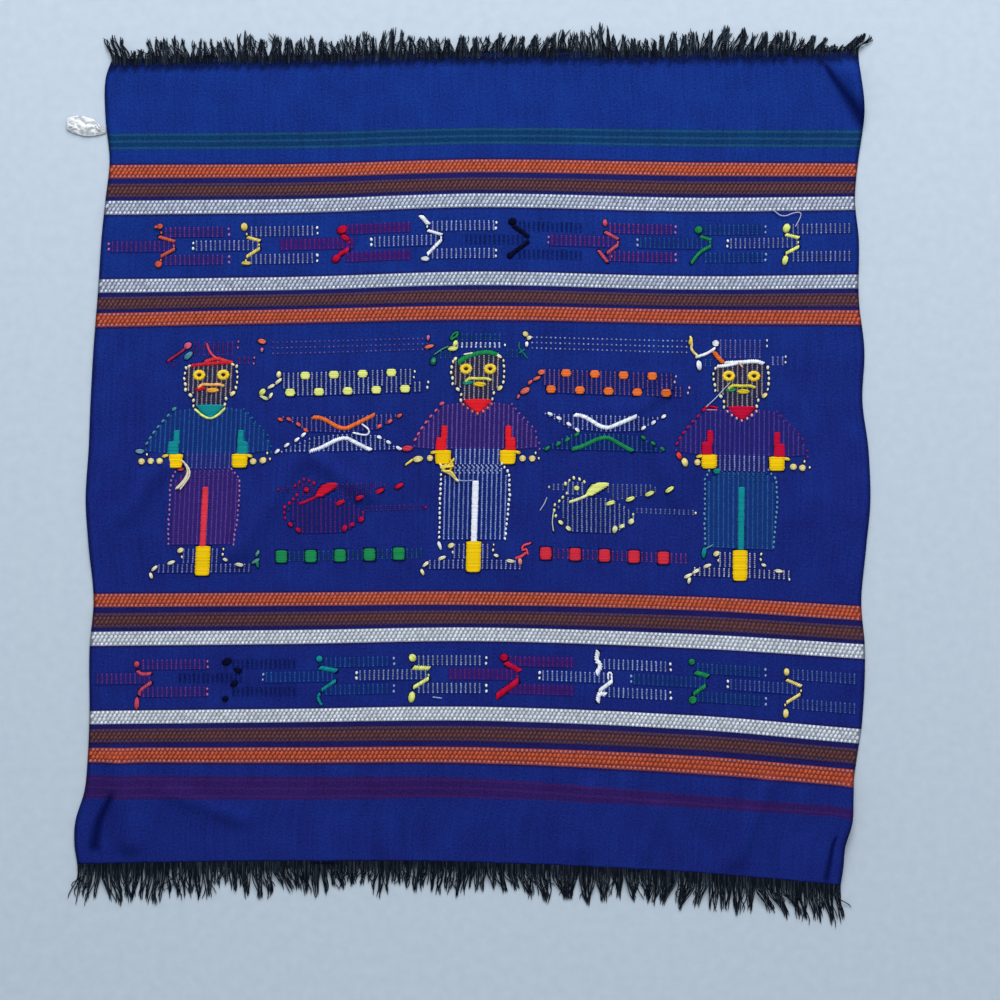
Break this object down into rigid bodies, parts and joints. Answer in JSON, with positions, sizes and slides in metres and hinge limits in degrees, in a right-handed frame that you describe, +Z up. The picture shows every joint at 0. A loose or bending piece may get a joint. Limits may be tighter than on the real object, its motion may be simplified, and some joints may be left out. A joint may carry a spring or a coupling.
{
  "type": "woven wall hanging",
  "caption": "Small handwoven cotton cloth laid flat, with striped borders, brocaded folk figures and a cut fringe at both ends.",
  "frame": {"origin": "on the floor, under the middle of the whole piece", "axes": "+Z up out of the face, +Y along the warp towards the upper end, +X across the cloth to the right as it is read"},
  "size_m": [0.4816, 0.5434, 0.0052],
  "materials": {
    "cloth": "matte plain weave in deep blue cotton, with orange, brown and white twill stripes and coloured brocade",
    "fringe": "matte loose cotton yarn, near-black navy",
    "label": "soft white woven tape, crumpled and blank"
  },
  "bodies": {
    "root": {"cloth": "cloth", "fringe_top": "fringe", "fringe_bottom": "fringe", "label": "label"}
  },
  "joints": []
}
